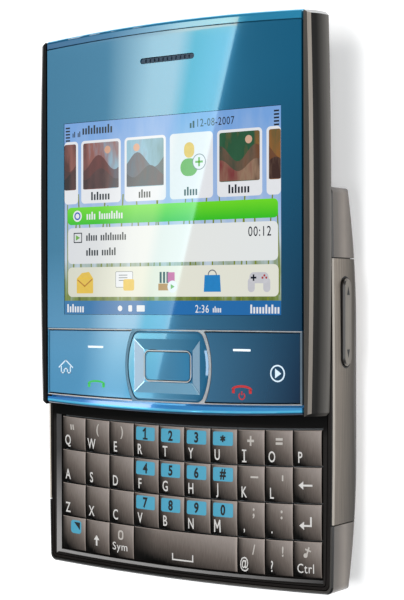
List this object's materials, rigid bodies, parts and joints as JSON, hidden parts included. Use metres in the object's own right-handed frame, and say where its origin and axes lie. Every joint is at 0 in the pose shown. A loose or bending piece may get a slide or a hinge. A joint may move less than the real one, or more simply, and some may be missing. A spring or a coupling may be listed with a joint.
{
  "type": "slider phone",
  "caption": "Compact slider phone: a screen half with display, navigation ring and softkeys slides up over a four-row letter keyboard; bowed metal back with lift-off cover.",
  "frame": {"origin": "middle of the flat rest on the back, under the plan centre of the keyboard half", "axes": "+Z out of the screen, +Y towards the top end of the phone, +X towards its right side; rest pose is slid open"},
  "size_m": [0.0669, 0.1059, 0.0168],
  "materials": {
    "chassis_plastic": "fine grained, near black",
    "deck_metal": "dark brushed, anodised",
    "band_metal": "taupe, brushed upright, with a polished upper edge",
    "cap_plastic": "metallic taupe paint",
    "cover_metal": "brushed taupe steel",
    "battery_wrap": "plain grey wrap",
    "board": "solder mask green",
    "silicone": "translucent grey silicone",
    "camera_glass": "black with a clear window",
    "screw_steel": "plain steel",
    "rail_steel": "plain steel",
    "rocker_metal": "metallic taupe paint",
    "inner_plastic": "smooth black",
    "graphite_rail": "satin graphite",
    "blue_housing": "glossy metallic blue",
    "display_glass": "clear cover glass over a lit screen",
    "blue_window": "clear gloss over metallic blue",
    "earpiece_metal": "dark mesh",
    "chrome_line": "polished",
    "front_key": "clear gloss over metallic blue, printed icons",
    "nav_blue": "translucent pale blue",
    "select_blue": "glossy blue with a bright rim",
    "key_metallic": "metallic dark taupe with printed legends"
  },
  "bodies": {
    "base": {"base_chassis": "chassis_plastic", "keyboard_deck": "deck_metal", "side_bands": "band_metal", "end_caps": "cap_plastic", "battery": "battery_wrap", "main_board": "board", "key_mat": "silicone", "camera": "camera_glass", "slide_rails": "rail_steel", "screws": "screw_steel"},
    "battery_cover": {"battery_cover": "cover_metal"},
    "volume_rocker": {"volume_rocker": "rocker_metal"},
    "screen_half": {"screen_back": "inner_plastic", "side_rails": "graphite_rail", "fascia": "blue_window", "display_module": "display_glass", "screen_housing": "blue_housing", "key_frame": "chrome_line", "earpiece": "earpiece_metal"},
    "left_key_plate": {"left_key_plate": "front_key"},
    "right_key_plate": {"right_key_plate": "front_key"},
    "nav_ring": {"nav_ring": "nav_blue"},
    "select_key": {"select_key": "select_blue"},
    "key_a": {"key_a": "key_metallic"},
    "key_at": {"key_at": "key_metallic"},
    "key_b": {"key_b": "key_metallic"},
    "key_backspace": {"key_backspace": "key_metallic"},
    "key_c": {"key_c": "key_metallic"},
    "key_comma": {"key_comma": "key_metallic"},
    "key_ctrl": {"key_ctrl": "key_metallic"},
    "key_d": {"key_d": "key_metallic"},
    "key_e": {"key_e": "key_metallic"},
    "key_enter": {"key_enter": "key_metallic"},
    "key_f": {"key_f": "key_metallic"},
    "key_fn": {"key_fn": "key_metallic"},
    "key_g": {"key_g": "key_metallic"},
    "key_h": {"key_h": "key_metallic"},
    "key_i": {"key_i": "key_metallic"},
    "key_j": {"key_j": "key_metallic"},
    "key_k": {"key_k": "key_metallic"},
    "key_l": {"key_l": "key_metallic"},
    "key_m": {"key_m": "key_metallic"},
    "key_n": {"key_n": "key_metallic"},
    "key_o": {"key_o": "key_metallic"},
    "key_p": {"key_p": "key_metallic"},
    "key_period": {"key_period": "key_metallic"},
    "key_q": {"key_q": "key_metallic"},
    "key_question": {"key_question": "key_metallic"},
    "key_r": {"key_r": "key_metallic"},
    "key_s": {"key_s": "key_metallic"},
    "key_shift": {"key_shift": "key_metallic"},
    "key_space": {"key_space": "key_metallic"},
    "key_sym": {"key_sym": "key_metallic"},
    "key_t": {"key_t": "key_metallic"},
    "key_u": {"key_u": "key_metallic"},
    "key_v": {"key_v": "key_metallic"},
    "key_w": {"key_w": "key_metallic"},
    "key_x": {"key_x": "key_metallic"},
    "key_y": {"key_y": "key_metallic"},
    "key_z": {"key_z": "key_metallic"}
  },
  "joints": [
    {"name": "screen_slide", "type": "slide", "parent": "base", "child": "screen_half", "axis": [0, -1, 0], "range_m": [0, 0.0315]},
    {"name": "battery_cover_lift", "type": "slide", "parent": "base", "child": "battery_cover", "axis": [0, 0, -1], "range_m": [0, 0.006]},
    {"name": "volume_rock", "type": "hinge", "parent": "base", "child": "volume_rocker", "pos_m": [0.03185, 0.01215, 0.00755], "axis": [0, 0, 1], "range_deg": [-1.5, 1.5], "stiffness_Nm_per_rad": 0.4},
    {"name": "left_key_plate_press", "type": "slide", "parent": "screen_half", "child": "left_key_plate", "axis": [0, 0, -1], "range_m": [0, 0.0002], "stiffness_N_per_m": 1200},
    {"name": "right_key_plate_press", "type": "slide", "parent": "screen_half", "child": "right_key_plate", "axis": [0, 0, -1], "range_m": [0, 0.0002], "stiffness_N_per_m": 1200},
    {"name": "nav_ring_press", "type": "slide", "parent": "screen_half", "child": "nav_ring", "axis": [0, 0, -1], "range_m": [0, 0.0002], "stiffness_N_per_m": 1200},
    {"name": "select_key_press", "type": "slide", "parent": "screen_half", "child": "select_key", "axis": [0, 0, -1], "range_m": [0, 0.0002], "stiffness_N_per_m": 1000},
    {"name": "key_a_press", "type": "slide", "parent": "base", "child": "key_a", "axis": [0, 0, -1], "range_m": [0, 0.0003], "stiffness_N_per_m": 800},
    {"name": "key_at_press", "type": "slide", "parent": "base", "child": "key_at", "axis": [0, 0, -1], "range_m": [0, 0.0003], "stiffness_N_per_m": 800},
    {"name": "key_b_press", "type": "slide", "parent": "base", "child": "key_b", "axis": [0, 0, -1], "range_m": [0, 0.0003], "stiffness_N_per_m": 800},
    {"name": "key_backspace_press", "type": "slide", "parent": "base", "child": "key_backspace", "axis": [0, 0, -1], "range_m": [0, 0.0003], "stiffness_N_per_m": 800},
    {"name": "key_c_press", "type": "slide", "parent": "base", "child": "key_c", "axis": [0, 0, -1], "range_m": [0, 0.0003], "stiffness_N_per_m": 800},
    {"name": "key_comma_press", "type": "slide", "parent": "base", "child": "key_comma", "axis": [0, 0, -1], "range_m": [0, 0.0003], "stiffness_N_per_m": 800},
    {"name": "key_ctrl_press", "type": "slide", "parent": "base", "child": "key_ctrl", "axis": [0, 0, -1], "range_m": [0, 0.0003], "stiffness_N_per_m": 800},
    {"name": "key_d_press", "type": "slide", "parent": "base", "child": "key_d", "axis": [0, 0, -1], "range_m": [0, 0.0003], "stiffness_N_per_m": 800},
    {"name": "key_e_press", "type": "slide", "parent": "base", "child": "key_e", "axis": [0, 0, -1], "range_m": [0, 0.0003], "stiffness_N_per_m": 800},
    {"name": "key_enter_press", "type": "slide", "parent": "base", "child": "key_enter", "axis": [0, 0, -1], "range_m": [0, 0.0003], "stiffness_N_per_m": 800},
    {"name": "key_f_press", "type": "slide", "parent": "base", "child": "key_f", "axis": [0, 0, -1], "range_m": [0, 0.0003], "stiffness_N_per_m": 800},
    {"name": "key_fn_press", "type": "slide", "parent": "base", "child": "key_fn", "axis": [0, 0, -1], "range_m": [0, 0.0003], "stiffness_N_per_m": 800},
    {"name": "key_g_press", "type": "slide", "parent": "base", "child": "key_g", "axis": [0, 0, -1], "range_m": [0, 0.0003], "stiffness_N_per_m": 800},
    {"name": "key_h_press", "type": "slide", "parent": "base", "child": "key_h", "axis": [0, 0, -1], "range_m": [0, 0.0003], "stiffness_N_per_m": 800},
    {"name": "key_i_press", "type": "slide", "parent": "base", "child": "key_i", "axis": [0, 0, -1], "range_m": [0, 0.0003], "stiffness_N_per_m": 800},
    {"name": "key_j_press", "type": "slide", "parent": "base", "child": "key_j", "axis": [0, 0, -1], "range_m": [0, 0.0003], "stiffness_N_per_m": 800},
    {"name": "key_k_press", "type": "slide", "parent": "base", "child": "key_k", "axis": [0, 0, -1], "range_m": [0, 0.0003], "stiffness_N_per_m": 800},
    {"name": "key_l_press", "type": "slide", "parent": "base", "child": "key_l", "axis": [0, 0, -1], "range_m": [0, 0.0003], "stiffness_N_per_m": 800},
    {"name": "key_m_press", "type": "slide", "parent": "base", "child": "key_m", "axis": [0, 0, -1], "range_m": [0, 0.0003], "stiffness_N_per_m": 800},
    {"name": "key_n_press", "type": "slide", "parent": "base", "child": "key_n", "axis": [0, 0, -1], "range_m": [0, 0.0003], "stiffness_N_per_m": 800},
    {"name": "key_o_press", "type": "slide", "parent": "base", "child": "key_o", "axis": [0, 0, -1], "range_m": [0, 0.0003], "stiffness_N_per_m": 800},
    {"name": "key_p_press", "type": "slide", "parent": "base", "child": "key_p", "axis": [0, 0, -1], "range_m": [0, 0.0003], "stiffness_N_per_m": 800},
    {"name": "key_period_press", "type": "slide", "parent": "base", "child": "key_period", "axis": [0, 0, -1], "range_m": [0, 0.0003], "stiffness_N_per_m": 800},
    {"name": "key_q_press", "type": "slide", "parent": "base", "child": "key_q", "axis": [0, 0, -1], "range_m": [0, 0.0003], "stiffness_N_per_m": 800},
    {"name": "key_question_press", "type": "slide", "parent": "base", "child": "key_question", "axis": [0, 0, -1], "range_m": [0, 0.0003], "stiffness_N_per_m": 800},
    {"name": "key_r_press", "type": "slide", "parent": "base", "child": "key_r", "axis": [0, 0, -1], "range_m": [0, 0.0003], "stiffness_N_per_m": 800},
    {"name": "key_s_press", "type": "slide", "parent": "base", "child": "key_s", "axis": [0, 0, -1], "range_m": [0, 0.0003], "stiffness_N_per_m": 800},
    {"name": "key_shift_press", "type": "slide", "parent": "base", "child": "key_shift", "axis": [0, 0, -1], "range_m": [0, 0.0003], "stiffness_N_per_m": 800},
    {"name": "key_space_press", "type": "slide", "parent": "base", "child": "key_space", "axis": [0, 0, -1], "range_m": [0, 0.0003], "stiffness_N_per_m": 800},
    {"name": "key_sym_press", "type": "slide", "parent": "base", "child": "key_sym", "axis": [0, 0, -1], "range_m": [0, 0.0003], "stiffness_N_per_m": 800},
    {"name": "key_t_press", "type": "slide", "parent": "base", "child": "key_t", "axis": [0, 0, -1], "range_m": [0, 0.0003], "stiffness_N_per_m": 800},
    {"name": "key_u_press", "type": "slide", "parent": "base", "child": "key_u", "axis": [0, 0, -1], "range_m": [0, 0.0003], "stiffness_N_per_m": 800},
    {"name": "key_v_press", "type": "slide", "parent": "base", "child": "key_v", "axis": [0, 0, -1], "range_m": [0, 0.0003], "stiffness_N_per_m": 800},
    {"name": "key_w_press", "type": "slide", "parent": "base", "child": "key_w", "axis": [0, 0, -1], "range_m": [0, 0.0003], "stiffness_N_per_m": 800},
    {"name": "key_x_press", "type": "slide", "parent": "base", "child": "key_x", "axis": [0, 0, -1], "range_m": [0, 0.0003], "stiffness_N_per_m": 800},
    {"name": "key_y_press", "type": "slide", "parent": "base", "child": "key_y", "axis": [0, 0, -1], "range_m": [0, 0.0003], "stiffness_N_per_m": 800},
    {"name": "key_z_press", "type": "slide", "parent": "base", "child": "key_z", "axis": [0, 0, -1], "range_m": [0, 0.0003], "stiffness_N_per_m": 800}
  ]
}
